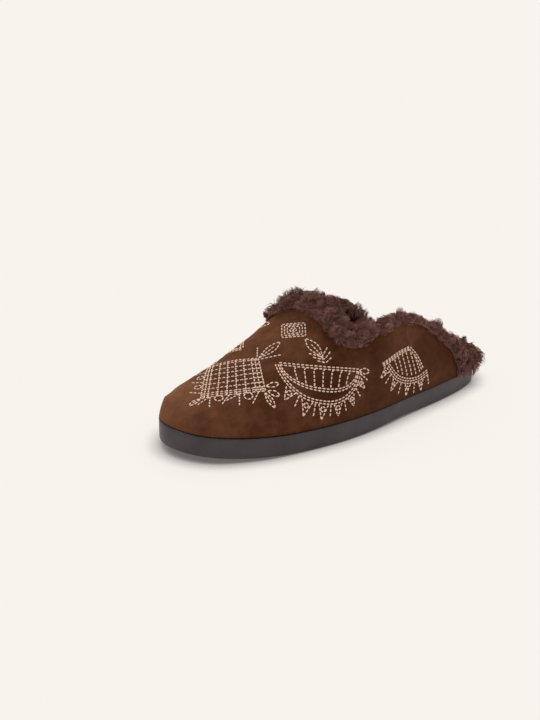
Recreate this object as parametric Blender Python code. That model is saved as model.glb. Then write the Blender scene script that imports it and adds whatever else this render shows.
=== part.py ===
"""Open-backed mule for the left foot: a suede upper on a flat unit sole, with a shearling collar.

Metres, +Z up, toe toward -Y, outer side of the foot toward +X. The sole stands on z = 0, and the
origin is the middle of its heel rest. Each sub-part is one object with its own material.
"""

import math
import random
from collections import namedtuple

import bmesh
import bpy
import numpy as np
from mathutils import Vector

# Overall form of the shoe
length = 0.262
ball_width = 0.097
instep_height = 0.0655
quarter_height = 0.0552

# Sole
forefoot_thickness = 0.0144
heel_thickness = 0.0131
toe_spring = 0.0063
waist_relief = 0.0011
toe_spring_curve = 1.8
sole_corner_radius = 0.0016
sole_top_bevel = 0.0005
thickening_from = 0.20
thickening_to = 0.75
heel_rest_from_back = 0.040
heel_rest_length = 0.056
forefoot_rest_from_back = 0.157
forefoot_rest_length = 0.040

# Upper
upper_wall = 0.0024
ledge_width = 0.0009
ledge_share_at_heel = 0.35
ledge_widens_from = 0.35
ledge_widens_to = 0.65
opening_back_outer = 0.0330
opening_back_inner = 0.0585
notch_from_back = 0.1390
throat_from_back = 0.1475
throat_skew = 0.0140

# Insole. It widens over the step in front of the heel fur, to meet the upper's wall, and draws in
# again under the low front of the toe.
insole_thickness = 0.0048
insole_edge_radius = 0.0014
insole_step_length = 0.010
insole_toe_from = 0.80
insole_toe_to = 0.95

# Shearling
collar_height = 0.0100
collar_outward = 0.0062
collar_inward = 0.0078
collar_drape = 0.0030
collar_lining_drop = 0.0042
heel_fur_height = 0.0135
heel_fur_overhang = 0.0058
heel_fur_inward = 0.0105
lock_length = 0.0042

# Clearances between pieces
fit_gap = 0.0003
soft_gap = 0.0008

# Mesh fineness
outline_steps = 48
side_steps = 46
rise_steps = 10
collar_steps = 50
heel_fur_steps = 26

# Half widths of the sole from the heel's centre line, as shares of the ball width
Outline = namedtuple("Outline", "along outer inner")
outline_rows = (
    Outline(0.00, 0.000, 0.000),
    Outline(0.03, 0.201, 0.202),
    Outline(0.10, 0.298, 0.302),
    Outline(0.20, 0.364, 0.340),
    Outline(0.34, 0.425, 0.345),
    Outline(0.46, 0.486, 0.368),
    Outline(0.58, 0.511, 0.436),
    Outline(0.70, 0.489, 0.497),
    Outline(0.80, 0.445, 0.464),
    Outline(0.89, 0.357, 0.420),
    Outline(0.94, 0.277, 0.350),
    Outline(0.975, 0.171, 0.240),
    Outline(1.00, -0.057, 0.057),
)

# The last: crest as a share of the instep height, its offset as a share of the ball width, how
# square the side wall is, and how square the crest is toward each side
Last = namedtuple("Last", "along crest offset wall outer_ridge inner_ridge")
last_rows = (
    Last(0.12, 1.28, 0.000, 2.3, 2.0, 2.0),
    Last(0.34, 1.36, -0.020, 2.3, 2.0, 2.1),
    Last(0.46, 1.25, -0.050, 2.3, 2.1, 2.4),
    Last(0.53, 1.09, -0.080, 2.3, 2.2, 2.8),
    Last(0.563, 0.98, -0.090, 2.3, 2.2, 3.0),
    Last(0.61, 0.84, -0.095, 2.3, 2.2, 3.2),
    Last(0.66, 0.705, -0.095, 2.3, 2.2, 3.0),
    Last(0.73, 0.58, -0.088, 2.4, 2.3, 2.5),
    Last(0.83, 0.405, -0.075, 2.9, 2.4, 2.4),
    Last(0.93, 0.295, -0.062, 3.9, 2.6, 2.5),
    Last(1.00, 0.235, -0.057, 4.2, 2.6, 2.5),
)
toe_round_from = 0.86
toe_roundness = 2.6
toe_fullness = 2.7

# Topline of the quarter: foot, where a line of the upper stands on the sole, and rim, where it
# ends, as shares of the way from the back corner to the notch, and the rim's height as a share
# of the quarter height
Quarter = namedtuple("Quarter", "foot rim height")
quarter_rows = (
    Quarter(0.019, 0.000, 0.03),
    Quarter(0.066, 0.003, 0.11),
    Quarter(0.123, 0.040, 0.26),
    Quarter(0.170, 0.088, 0.41),
    Quarter(0.236, 0.179, 0.60),
    Quarter(0.321, 0.287, 0.77),
    Quarter(0.415, 0.389, 0.90),
    Quarter(0.510, 0.495, 0.98),
    Quarter(0.646, 0.628, 1.00),
    Quarter(0.792, 0.774, 0.97),
    Quarter(0.925, 0.894, 0.91),
    Quarter(1.047, 1.000, 0.86),
)

# Throat flap, from the notch to its middle. Foot is a share of the way from the notch to the toe,
# fall of the way from the middle of the throat back to the notch, and across of the notch's
# distance from the crest. Skew is the share of the throat's skew that the inner side takes.
Flap = namedtuple("Flap", "foot fall across skew")
flap_rows = (
    Flap(0.000, 1.00, 1.00, 1.00),
    Flap(0.111, 0.45, 0.93, 0.84),
    Flap(0.244, 0.17, 0.80, 0.66),
    Flap(0.400, 0.07, 0.63, 0.46),
    Flap(0.578, 0.05, 0.44, 0.28),
    Flap(0.756, 0.03, 0.26, 0.13),
    Flap(0.911, 0.00, 0.11, 0.04),
    Flap(1.000, 0.00, 0.00, 0.00),
)

# The pile along the collar, from its end at the sole over the notch (1) to the throat (2)
Pile = namedtuple("Pile", "place height outward")
pile_rows = (
    Pile(0.00, 1.00, 0.80),
    Pile(0.20, 1.05, 1.00),
    Pile(0.45, 0.75, 1.00),
    Pile(0.70, 0.75, 1.00),
    Pile(1.00, 0.90, 1.00),
    Pile(1.40, 1.15, 0.95),
    Pile(2.00, 1.20, 0.82),
)

# Waves that swell the pile, which never line up: how fast each runs along the collar and round
# its section, where it starts, and how much it adds
Wave = namedtuple("Wave", "along turns start swell")
pile_waves = (
    Wave(190.0, 1.0, 0.0, 0.055),
    Wave(317.0, 3.0, 0.8, 0.045),
    Wave(523.0, -2.0, 2.1, 0.030),
)

# A corner of the pile's section: where it lies, and whether the pile swells and grows locks there
Corner = namedtuple("Corner", "outward up free")


def clear_scene():
    for old in list(bpy.data.objects):
        bpy.data.objects.remove(old, do_unlink=True)


def material(name, colour, roughness, metallic=0.0):
    made = bpy.data.materials.new(name)
    made.use_nodes = True
    shader = made.node_tree.nodes["Principled BSDF"]
    shader.inputs["Base Color"].default_value = (*colour, 1.0)
    shader.inputs["Roughness"].default_value = roughness
    shader.inputs["Metallic"].default_value = metallic
    return made


def place_object(name, mesh_data, look):
    """A named object from a bmesh, facing out and shaded smooth."""
    bmesh.ops.recalc_face_normals(mesh_data, faces=mesh_data.faces)
    mesh = bpy.data.meshes.new(name)
    mesh_data.to_mesh(mesh)
    mesh_data.free()
    made = bpy.data.objects.new(name, mesh)
    bpy.context.scene.collection.objects.link(made)
    mesh.materials.append(look)
    mesh.shade_smooth()
    mesh.set_sharp_from_angle(angle=math.radians(50))
    return made


def smooth_curve(places, values, at):
    """A smooth curve through the rows, with each row's slope taken from its neighbours."""
    places = np.asarray(places, float)
    values = np.asarray(values, float)
    at = np.clip(np.asarray(at, float), places[0], places[-1])
    slopes = np.gradient(values, places)
    index = np.clip(np.searchsorted(places, at, side="right") - 1, 0, len(places) - 2)
    step = places[index + 1] - places[index]
    t = (at - places[index]) / step
    start = values[index] * (1 + 2 * t) * (1 - t) ** 2
    end = values[index + 1] * (3 - 2 * t) * t**2
    bend = step * t * (1 - t) * (slopes[index] * (1 - t) - slopes[index + 1] * t)
    return start + end + bend


def table(rows, column, at):
    return smooth_curve([row[0] for row in rows], [getattr(row, column) for row in rows], at)


def table_at(rows, share):
    """One row of a table whose rows lie at even steps, at a share of the way along it."""
    steps = np.linspace(0, 1, len(rows))
    columns = np.array(rows).T
    return type(rows[0])(*(float(smooth_curve(steps, column, share)) for column in columns))


def turn_of(along):
    """The angle that runs evenly round both rounded ends of the outline."""
    return np.arccos(1 - 2 * np.clip(along, 0.0, 1.0))


def half_width(along, side):
    """Half width of the sole on one side, +1 outer and -1 inner, from the heel's centre line."""
    column = "outer" if side > 0 else "inner"
    turns = turn_of(np.array([row.along for row in outline_rows]))
    shares = [getattr(row, column) for row in outline_rows]
    return ball_width * smooth_curve(turns, shares, turn_of(along))


def y_of(along):
    return heel_rest_from_back - along * length


def along_of(y):
    return (heel_rest_from_back - y) / length


def ease(at, start, end):
    """Rises smoothly from 0 at the start to 1 at the end."""
    t = np.clip((at - start) / (end - start), 0.0, 1.0)
    return t * t * (3 - 2 * t)


def toe_lift(along):
    """How far the sole rises off the floor in front of the forefoot's rest."""
    rest_end = (forefoot_rest_from_back + forefoot_rest_length / 2) / length
    toe = np.clip((along - rest_end) / (1 - rest_end), 0.0, 1.0)
    return toe_spring * toe**toe_spring_curve


def sole_bottom(along):
    """Height of the tread over the floor: flat under heel and forefoot, lifted at waist and toe."""
    heel_end = (heel_rest_from_back + heel_rest_length / 2) / length
    ball_start = (forefoot_rest_from_back - forefoot_rest_length / 2) / length
    waist = np.clip((along - heel_end) / (ball_start - heel_end), 0.0, 1.0)
    return waist_relief * np.sin(math.pi * waist) ** 2 + toe_lift(along)


def sole_top(along):
    thickening = ease(along, thickening_from, thickening_to)
    return heel_thickness + (forefoot_thickness - heel_thickness) * thickening + toe_lift(along)


def opening_back(side):
    """Distance from the heel's end to the upper's back corner on one side."""
    return opening_back_outer if side > 0 else opening_back_inner


def notch_place(side):
    """Distance from the heel's end to the notch of the topline on one side."""
    return notch_from_back + (0.0 if side > 0 else throat_skew)


def outline_loop(steps):
    """Outline points round the sole: along and x, outer side from heel to toe and back inside."""
    turns = np.linspace(0, math.pi, steps + 1)
    along = (1 - np.cos(turns)) / 2
    outer = np.column_stack([along, half_width(along, 1)])
    inner = np.column_stack([along, -half_width(along, -1)])
    return np.vstack([outer, inner[-2:0:-1]])


def inset_loop(loop, distance):
    """The loop of plan points (y, x) moved inward by a distance, or one distance for each point."""
    ahead = np.roll(loop, -1, axis=0) - np.roll(loop, 1, axis=0)
    normal = np.column_stack([-ahead[:, 1], ahead[:, 0]])
    normal /= np.linalg.norm(normal, axis=1)[:, None]
    centre = loop.mean(axis=0)
    outward = np.sign(np.sum(normal * (loop - centre), axis=1))
    return loop - normal * (outward * distance)[:, None]


def add_ring(mesh_data, plan, heights):
    return [mesh_data.verts.new((x, y, z)) for (y, x), z in zip(plan, heights)]


def bridge(mesh_data, lower, upper):
    """Quads between two closed rings of as many points."""
    count = len(lower)
    for i in range(count):
        j = (i + 1) % count
        mesh_data.faces.new((lower[i], lower[j], upper[j], upper[i]))


def ladder(mesh_data, ring):
    """Fills a ring that runs out one side and back the other with straight rungs across."""
    half = len(ring) // 2
    for i in range(half):
        a, b = ring[i], ring[i + 1]
        c, d = ring[-i - 1], ring[-i] if i else ring[0]
        corners = list(dict.fromkeys((a, b, c, d)))
        mesh_data.faces.new(corners)


def plate(name, loop, levels, look):
    """A closed plate from rings of one outline: each level is (inset, height function)."""
    mesh_data = bmesh.new()
    rings = []
    for inset, height in levels:
        plan = inset_loop(loop, np.broadcast_to(inset, len(loop)))
        rings.append(add_ring(mesh_data, plan, height(along_of(plan[:, 0]))))
    for lower, upper in zip(rings, rings[1:]):
        bridge(mesh_data, lower, upper)
    ladder(mesh_data, rings[0])
    ladder(mesh_data, rings[-1])
    return place_object(name, mesh_data, look)


def build_outsole(look):
    loop = outline_loop(outline_steps)
    plan = np.column_stack([y_of(loop[:, 0]), loop[:, 1]])
    radius = sole_corner_radius
    levels = [
        (radius * (1 - math.sin(turn)), lambda a, t=turn: sole_bottom(a) + radius * (1 - math.cos(t)))
        for turn in np.linspace(0, math.pi / 2, 4)
    ]
    levels.append((0.0, lambda a: sole_top(a) - sole_top_bevel))
    levels.append((sole_top_bevel, sole_top))
    return plate("outsole", plan, levels, look)


def toe_reach(form, height):
    """How far behind the sole's tip the last first stands this high."""
    along = np.linspace(0.8, form.toe_end(), 400)
    return length * (1 - along[form.crest(along) > height][-1])


def build_insole(look):
    """The footbed: inside the upper's wall, and narrower at the heel where the fur lies round it."""
    form = UpperForm()
    loop = outline_loop(outline_steps)
    plan = np.column_stack([y_of(loop[:, 0]), loop[:, 1]])
    edge_height = insole_thickness + 2 * fit_gap
    toe_inset = toe_reach(form, edge_height + upper_wall / 2) + 1.7 * upper_wall
    inset = []
    for i, along in enumerate(loop[:, 0]):
        side = 1 if i <= outline_steps else -1
        ledge = ledge_width_at(along)
        clear = ledge + upper_wall + 3 * fit_gap
        lean = form.side_span(along, side) - form.reach(edge_height, along, side)
        under_toe = (toe_inset - clear) * ease(along, insole_toe_from, insole_toe_to)
        beside_upper = clear + max(lean, under_toe)
        beside_fur = max(ledge + upper_wall + collar_inward, heel_fur_inward) + 1.5 * soft_gap
        step_start = opening_back(side) + 1.3 * collar_lining_drop + 2 * soft_gap
        step = ease(along * length, step_start, step_start + insole_step_length)
        inset.append(beside_fur + (beside_upper - beside_fur) * step)
    inset = np.array(inset)
    radius = insole_edge_radius
    top = fit_gap + insole_thickness
    levels = [(inset, lambda a: sole_top(a) + fit_gap)]
    levels += [
        (
            inset + radius * (1 - math.cos(turn)),
            lambda a, t=turn: sole_top(a) + top - radius * (1 - math.sin(t)),
        )
        for turn in np.linspace(0, math.pi / 2, 3)
    ]
    return plate("insole", plan, levels, look)


class UpperForm:
    """The upper's outer face: lines that rise from the sole's edge to the topline."""

    dense = 240

    def offset(self, along):
        return ball_width * table(last_rows, "offset", along)

    def crest(self, along):
        toe = np.clip((along - toe_round_from) / (self.toe_end() - toe_round_from), 0.0, 1.0)
        rounding = (1 - toe**toe_roundness) ** (1 / toe_fullness)
        return instep_height * table(last_rows, "crest", along) * rounding

    def ridge(self, along, side):
        return table(last_rows, "outer_ridge" if side > 0 else "inner_ridge", along)

    def toe_end(self):
        return 1 - ledge_width / length

    def side_span(self, along, side):
        """Distance from the crest line to the upper's foot on one side."""
        stretched = along / self.toe_end()
        return half_width(stretched, side) - ledge_width_at(along) - side * self.offset(along)

    def lift(self, x, along, side):
        """Height of the last over the sole at a plan point."""
        span = np.maximum(self.side_span(along, side), 1e-6)
        share = np.clip(side * (x - self.offset(along)) / span, 0.0, 1.0)
        ridge = self.ridge(along, side)
        wall = table(last_rows, "wall", along)
        return self.crest(along) * (1 - share**ridge) ** (1 / wall)

    def reach(self, height, along, side):
        """How far from the crest line the last is this high."""
        wall = table(last_rows, "wall", along)
        ridge = self.ridge(along, side)
        share = np.clip(height / np.maximum(self.crest(along), 1e-6), 0.0, 1.0)
        return self.side_span(along, side) * (1 - share**wall) ** (1 / ridge)

    def foot_and_rim(self, t, side):
        """Plan points of one line: its foot on the sole's edge and its end at the topline.

        t runs from 0 at the back corner over 1 at the notch to 2 at the middle of the throat.
        """
        start = opening_back(side) / length
        notch = notch_place(side) / length
        if t <= 1.0:
            row = table_at(quarter_rows, t)
            foot = start + (notch - start) * row.foot
            rim = start + (notch - start) * row.rim
            across = self.reach(quarter_height * row.height, rim, side)
        else:
            row = table_at(flap_rows, t - 1.0)
            notch_row = quarter_rows[-1]
            notch_foot = start + (notch - start) * notch_row.foot
            foot = notch_foot + (self.toe_end() - notch_foot) * row.foot
            skew = throat_skew * row.skew if side < 0 else 0.0
            rim = (throat_from_back - (throat_from_back - notch_from_back) * row.fall + skew) / length
            across = row.across * self.reach(quarter_height * notch_row.height, notch, side)
        foot_x = self.offset(foot) + side * self.side_span(foot, side)
        rim_x = self.offset(rim) + side * across
        return np.array([foot, foot_x]), np.array([rim, rim_x])

    def line(self, t, side, steps):
        """Points at equal distances along one line, from the sole's edge to the topline."""
        foot, rim = self.foot_and_rim(t, side)
        # The points crowd toward the foot, where the wall is steep.
        share = np.linspace(0, 1, self.dense) ** 3
        plan = foot + share[:, None] * (rim - foot)
        lift = self.lift(plan[:, 1], plan[:, 0], side)
        points = np.column_stack([plan[:, 1], y_of(plan[:, 0]), sole_top(plan[:, 0]) + fit_gap + lift])
        travel = np.concatenate([[0], np.cumsum(np.linalg.norm(np.diff(points, axis=0), axis=1))])
        wanted = np.linspace(0, travel[-1], steps + 1)
        return np.column_stack([np.interp(wanted, travel, points[:, i]) for i in range(3)])

    def grid(self, steps, rise):
        """Rows of points from the outer back corner round the toe to the inner back corner."""
        lines = [self.line(t, 1, rise) for t in np.linspace(0, 2, steps + 1)]
        lines += [self.line(t, -1, rise) for t in np.linspace(2, 0, steps + 1)[1:]]
        return np.array(lines)


def ledge_width_at(along):
    """The sole's edge shows in front of the upper at the forefoot and closes up toward the heel."""
    widening = ease(along, ledge_widens_from, ledge_widens_to)
    return ledge_width * (ledge_share_at_heel + (1 - ledge_share_at_heel) * widening)


def grid_normals(grid):
    """Outward unit normals of a grid of points, level along its foot."""
    round_foot = np.gradient(grid, axis=0)
    rising = np.gradient(grid, axis=1)
    normals = np.cross(rising, round_foot)
    normals[:, 0, 2] = 0
    return normals / np.linalg.norm(normals, axis=2)[:, :, None]


def wall_grids():
    """The outer and inner faces of the upper, point for point."""
    outer = UpperForm().grid(side_steps, rise_steps)
    normals = grid_normals(outer)
    inner = outer - normals * upper_wall
    inner[:, 0, 2] = sole_top(along_of(inner[:, 0, 1])) + fit_gap
    return outer, inner, normals


def build_upper(look):
    outer, inner, _ = wall_grids()
    mesh_data = bmesh.new()
    faces = []
    for grid in (outer, inner):
        faces.append([[mesh_data.verts.new(point) for point in line] for line in grid])
    for rows in faces:
        for a, b in zip(rows, rows[1:]):
            for i in range(rise_steps):
                mesh_data.faces.new((a[i], b[i], b[i + 1], a[i + 1]))
    out, into = faces
    for i in range(len(out) - 1):
        for level in (0, rise_steps):
            mesh_data.faces.new((out[i][level], out[i + 1][level], into[i + 1][level], into[i][level]))
    for end in (0, -1):
        for i in range(rise_steps):
            mesh_data.faces.new((out[end][i], out[end][i + 1], into[end][i + 1], into[end][i]))
    return place_object("upper", mesh_data, look)


def smoothed(points, passes):
    """Points along an open path, each drawn toward the middle of its neighbours."""
    points = points.copy()
    for _ in range(passes):
        points[1:-1] = (points[:-2] + 2 * points[1:-1] + points[2:]) / 4
    return points


def unit(vectors):
    return vectors / np.linalg.norm(vectors, axis=-1, keepdims=True)


def lump(place, turn):
    """How much the pile swells or sinks at a place along it and a turn round its section."""
    waves = [w.swell * math.sin(place * w.along + turn * w.turns + w.start) for w in pile_waves]
    return sum(waves)


def collar_path():
    """Stations along the topline: rim points, wall normals, way up through the pile, and place."""
    form = UpperForm()
    places = np.linspace(0, 2, collar_steps + 1)
    lines = [form.line(t, 1, rise_steps * 3) for t in places]
    lines += [form.line(t, -1, rise_steps * 3) for t in places[-2::-1]]
    lines = np.array(lines)
    rim = lines[:, -1]
    normals = unit(smoothed(grid_normals(lines)[:, -1], 2))
    # Both ends run on down to the sole, behind the upper's corner.
    below = np.array([0, 0, fit_gap - quarter_rows[0].height * quarter_height])
    rim = np.vstack([rim[0] + below, rim, rim[-1] + below])
    normals = np.vstack([normals[0], normals, normals[-1]])
    places = np.concatenate([places[:1], places, places[-2::-1], places[:1]])
    tangent = unit(np.gradient(rim, axis=0))
    across = unit(smoothed(unit(np.cross(tangent, normals)), 6))
    return rim, normals, across, places


def build_collar(look):
    """Shearling that wraps the topline, with a slot for the upper's wall and locks fused on."""
    rim, normals, across, places = collar_path()
    heights = collar_height * table(pile_rows, "height", places)
    tops = smoothed(rim + across * heights[:, None], 8)
    gap = fit_gap + 0.5 * soft_gap
    inner_face = -upper_wall - gap
    drop = collar_lining_drop
    # Outward runs from the rim's outer edge. Up is a share of the pile over the rim, and a length
    # below it.
    section = (
        Corner(gap, -collar_drape, 0),
        Corner(gap, gap / collar_height, 0),
        Corner(inner_face, gap / collar_height, 0),
        Corner(inner_face, -drop, 0),
        Corner(inner_face - 0.35 * collar_inward, -1.15 * drop, 0),
        Corner(inner_face - 0.80 * collar_inward, -0.60 * drop, 1),
        Corner(inner_face - collar_inward, 0.15, 1),
        Corner(inner_face - 0.92 * collar_inward, 0.50, 1),
        Corner(inner_face - 0.55 * collar_inward, 0.85, 1),
        Corner(inner_face * 0.5, 1.0, 1),
        Corner(0.50 * collar_outward, 0.88, 1),
        Corner(0.90 * collar_outward, 0.55, 1),
        Corner(collar_outward, 0.15, 1),
        Corner(0.85 * collar_outward, -0.55 * collar_drape, 1),
        Corner(0.45 * collar_outward, -1.05 * collar_drape, 0),
    )
    middle = inner_face * 0.5
    outward_share = table(pile_rows, "outward", places)
    travel = np.concatenate([[0], np.cumsum(np.linalg.norm(np.diff(rim, axis=0), axis=1))])
    over_sole = rim[:, 2] - sole_top(along_of(rim[:, 1]))
    ripe = ease(over_sole, insole_thickness, 2 * insole_thickness)
    mesh_data = bmesh.new()
    rings = []
    for i, place in enumerate(rim):
        ring = []
        for k, corner in enumerate(section):
            swell = 1.0
            if corner.free:
                swell += ripe[i] * lump(travel[i], k * 2 * math.pi / len(section))
            outward = corner.outward
            if outward > gap:
                outward *= outward_share[i]
            outward = middle + (outward - middle) * swell
            up = corner.up * swell
            lift = (tops[i] - rim[i]) * up if up > 0 else across[i] * up
            ring.append(mesh_data.verts.new(place + normals[i] * outward + lift))
        rings.append(ring)
    for lower, upper in zip(rings, rings[1:]):
        bridge(mesh_data, lower, upper)
    for end in (rings[0], rings[-1]):
        mesh_data.faces.new(end)
    bmesh.ops.recalc_face_normals(mesh_data, faces=mesh_data.faces)
    free = [k for k, corner in enumerate(section) if corner.free]
    grow_locks(mesh_data, [ring for ring, share in zip(rings, ripe) if share == 1], free, 11)
    return place_object("fur_collar", mesh_data, look)


def grow_locks(mesh_data, rings, free, seed):
    """Draws some faces of the pile out into short pointed locks."""
    chance = random.Random(seed)
    free_verts = {ring[k] for ring in rings for k in free}
    taken = set()
    picked = []
    candidates = [face for face in mesh_data.faces if all(v in free_verts for v in face.verts)]
    chance.shuffle(candidates)
    for face in candidates:
        if any(v in taken for v in face.verts):
            continue
        picked.append(face)
        taken.update(face.verts)
    grown = bmesh.ops.extrude_discrete_faces(mesh_data, faces=picked)["faces"]
    for face in grown:
        middle = face.calc_center_median()
        draw = face.normal * lock_length * chance.uniform(0.35, 1.0)
        draw += Vector((0, 0, -0.25 * lock_length * chance.random()))
        for v in face.verts:
            v.co = middle + (v.co - middle) * 0.35 + draw


def build_heel_fur(look):
    """Shearling round the open heel, on the sole's edge, between the collar's two ends."""
    fine_steps = outline_steps * 4
    loop = outline_loop(fine_steps)
    path = []
    for side, points in ((-1, loop[fine_steps + 1 :]), (1, loop[: fine_steps + 1])):
        end = opening_back(side) - collar_height - 1.5 * soft_gap
        path += [(y_of(along), x) for along, x in points if along * length < end]
    path = np.array(path)
    travel = np.concatenate([[0], np.cumsum(np.linalg.norm(np.diff(path, axis=0), axis=1))])
    wanted = np.linspace(0, travel[-1], heel_fur_steps + 1)
    path = np.column_stack([np.interp(wanted, travel, path[:, i]) for i in range(2)])
    direction = unit(np.gradient(path, axis=0))
    outward = np.column_stack([direction[:, 1], -direction[:, 0]])
    outward *= np.sign(np.sum(outward * (path - path.mean(axis=0)), axis=1))[:, None]
    section = (
        Corner(-heel_fur_inward, fit_gap, 0),
        Corner(soft_gap, fit_gap, 0),
        Corner(0.45 * heel_fur_overhang, -0.10 * heel_fur_height, 0),
        Corner(0.90 * heel_fur_overhang, 0.08 * heel_fur_height, 1),
        Corner(heel_fur_overhang, 0.42 * heel_fur_height, 1),
        Corner(0.55 * heel_fur_overhang, 0.80 * heel_fur_height, 1),
        Corner(-0.20 * heel_fur_inward, heel_fur_height, 1),
        Corner(-0.62 * heel_fur_inward, 0.92 * heel_fur_height, 1),
        Corner(-0.95 * heel_fur_inward, 0.60 * heel_fur_height, 1),
    )
    middle = Corner(-0.15 * heel_fur_inward, 0.4 * heel_fur_height, 1)
    mesh_data = bmesh.new()
    rings = []
    for i, ((y, x), (out_y, out_x)) in enumerate(zip(path, outward)):
        ring = []
        base = sole_top(along_of(y))
        for k, corner in enumerate(section):
            swell = 1.0
            if corner.free and 0 < i < heel_fur_steps:
                swell += lump(wanted[i], k * 2 * math.pi / len(section))
            out = middle.outward + (corner.outward - middle.outward) * swell
            up = middle.up + (corner.up - middle.up) * swell
            ring.append(mesh_data.verts.new((x + out_x * out, y + out_y * out, base + up)))
        rings.append(ring)
    for lower, upper in zip(rings, rings[1:]):
        bridge(mesh_data, lower, upper)
    for end in (rings[0], rings[-1]):
        mesh_data.faces.new(end)
    bmesh.ops.recalc_face_normals(mesh_data, faces=mesh_data.faces)
    free = [k for k, corner in enumerate(section) if corner.free]
    grow_locks(mesh_data, rings[1:-1], free, 5)
    return place_object("heel_fur", mesh_data, look)


def main():
    clear_scene()
    rubber = material("dark_rubber", (0.048, 0.041, 0.043), 0.45)
    suede = material("brown_suede", (0.115, 0.045, 0.018), 0.95)
    shearling = material("dark_shearling", (0.075, 0.034, 0.028), 0.95)
    footbed = material("shearling_footbed", (0.060, 0.028, 0.022), 0.95)
    build_outsole(rubber)
    build_insole(footbed)
    build_upper(suede)
    build_collar(shearling)
    build_heel_fur(shearling)


main()
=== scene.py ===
import math

import bmesh
import bpy
import numpy as np
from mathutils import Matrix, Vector, kdtree, noise
from mathutils.bvhtree import BVHTree


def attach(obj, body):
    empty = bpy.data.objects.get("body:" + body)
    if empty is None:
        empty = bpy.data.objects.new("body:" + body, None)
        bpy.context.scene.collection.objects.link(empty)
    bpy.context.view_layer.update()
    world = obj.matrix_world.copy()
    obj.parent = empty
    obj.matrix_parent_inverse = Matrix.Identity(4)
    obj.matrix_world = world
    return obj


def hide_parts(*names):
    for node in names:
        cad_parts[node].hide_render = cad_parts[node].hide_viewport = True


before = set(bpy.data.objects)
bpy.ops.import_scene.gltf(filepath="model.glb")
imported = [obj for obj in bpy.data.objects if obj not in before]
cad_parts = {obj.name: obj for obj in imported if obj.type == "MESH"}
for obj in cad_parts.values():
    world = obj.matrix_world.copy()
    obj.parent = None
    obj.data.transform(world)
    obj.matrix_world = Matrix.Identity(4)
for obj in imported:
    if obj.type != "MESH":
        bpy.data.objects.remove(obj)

noise.seed_set(4)          # without it noise_vector changes from run to run
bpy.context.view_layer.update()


# helpers for picking, copying and reading pieces

weldDistance = 0.00002      # joins the loose triangles of a CAD node


def pick(piece):
    bpy.ops.object.select_all(action="DESELECT")
    piece.select_set(True)
    bpy.context.view_layer.objects.active = piece


def copyNode(nodeName, pieceName):
    # a merged copy of a CAD node, in quads, ready to be shaped
    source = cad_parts[nodeName]
    piece = source.copy()
    piece.data = source.data.copy()
    piece.parent = None
    piece.hide_viewport = False
    piece.hide_render = False
    for key in list(piece.keys()):
        del piece[key]
    bpy.context.scene.collection.objects.link(piece)
    piece.hide_set(False)
    piece.name = pieceName
    piece.data.name = pieceName
    pick(piece)
    bpy.ops.object.mode_set(mode="EDIT")
    bpy.ops.mesh.select_all(action="SELECT")
    bpy.ops.mesh.customdata_custom_splitnormals_clear()
    bpy.ops.mesh.remove_doubles(threshold=weldDistance)
    bpy.ops.mesh.tris_convert_to_quads(face_threshold=math.pi, shape_threshold=math.pi)
    bpy.ops.object.mode_set(mode="OBJECT")
    return piece


def applyModifier(piece, kind, **settings):
    pick(piece)
    modifier = piece.modifiers.new(kind.title(), kind)
    for name, value in settings.items():
        setattr(modifier, name, value)
    bpy.ops.object.modifier_apply(modifier=modifier.name)


def subdivide(piece, levels):
    applyModifier(piece, "SUBSURF", levels=levels, render_levels=levels)


def shadeSmooth(piece, angle=180.0):
    pick(piece)
    bpy.ops.object.shade_smooth_by_angle(angle=math.radians(angle))


def readVectors(mesh, what="co"):
    values = np.empty(len(mesh.vertices) * 3, np.float32)
    mesh.vertices.foreach_get(what, values)
    return values.reshape(-1, 3).astype(float)


def writePoints(mesh, points):
    mesh.vertices.foreach_set("co", points.astype(np.float32).ravel())
    mesh.update()


def newPiece(name, points, faces):
    mesh = bpy.data.meshes.new(name)
    mesh.from_pydata(points.tolist(), [], faces.tolist())
    piece = bpy.data.objects.new(name, mesh)
    bpy.context.scene.collection.objects.link(piece)
    return piece


def takeTriangles(piece):
    # the points and triangles of a model that is copied many times, and then not kept itself
    bpy.ops.object.mode_set(mode="EDIT")
    bpy.ops.mesh.select_all(action="SELECT")
    bpy.ops.mesh.quads_convert_to_tris()
    bpy.ops.mesh.normals_make_consistent(inside=False)
    bpy.ops.object.mode_set(mode="OBJECT")
    points = readVectors(piece.data)
    faces = np.array([list(p.vertices) for p in piece.data.polygons])
    bpy.data.objects.remove(piece)
    return points, faces


def treeOf(piece):
    mesh = piece.data
    return BVHTree.FromPolygons([v.co for v in mesh.vertices], [p.vertices for p in mesh.polygons])


def unit(vectors):
    # the same directions, each one long
    return vectors / np.maximum(np.linalg.norm(vectors, axis=-1, keepdims=True), 1e-9)


def easeBetween(value, start, end):
    # 0 before the start, 1 after the end, and a soft rise between them
    t = np.clip((value - start) / (end - start), 0.0, 1.0)
    return t * t * (3 - 2 * t)


# shader helpers

def newMaterial(name):
    made = bpy.data.materials.new(name)
    made.use_nodes = True
    return made, made.node_tree.nodes, made.node_tree.links


def noiseNode(nodes, links, coordinates, scale, detail=4.0, roughness=0.55):
    node = nodes.new("ShaderNodeTexNoise")
    node.inputs["Scale"].default_value = scale
    node.inputs["Detail"].default_value = detail
    node.inputs["Roughness"].default_value = roughness
    links.new(coordinates, node.inputs["Vector"])
    return node


def rampNode(nodes, links, value, stops):
    node = nodes.new("ShaderNodeValToRGB")
    ramp = node.color_ramp
    while len(ramp.elements) < len(stops):
        ramp.elements.new(0.5)
    for element, (place, colour) in zip(ramp.elements, stops):
        element.position = place
        element.color = (*colour, 1.0)
    links.new(value, node.inputs["Fac"])
    return node


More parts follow.
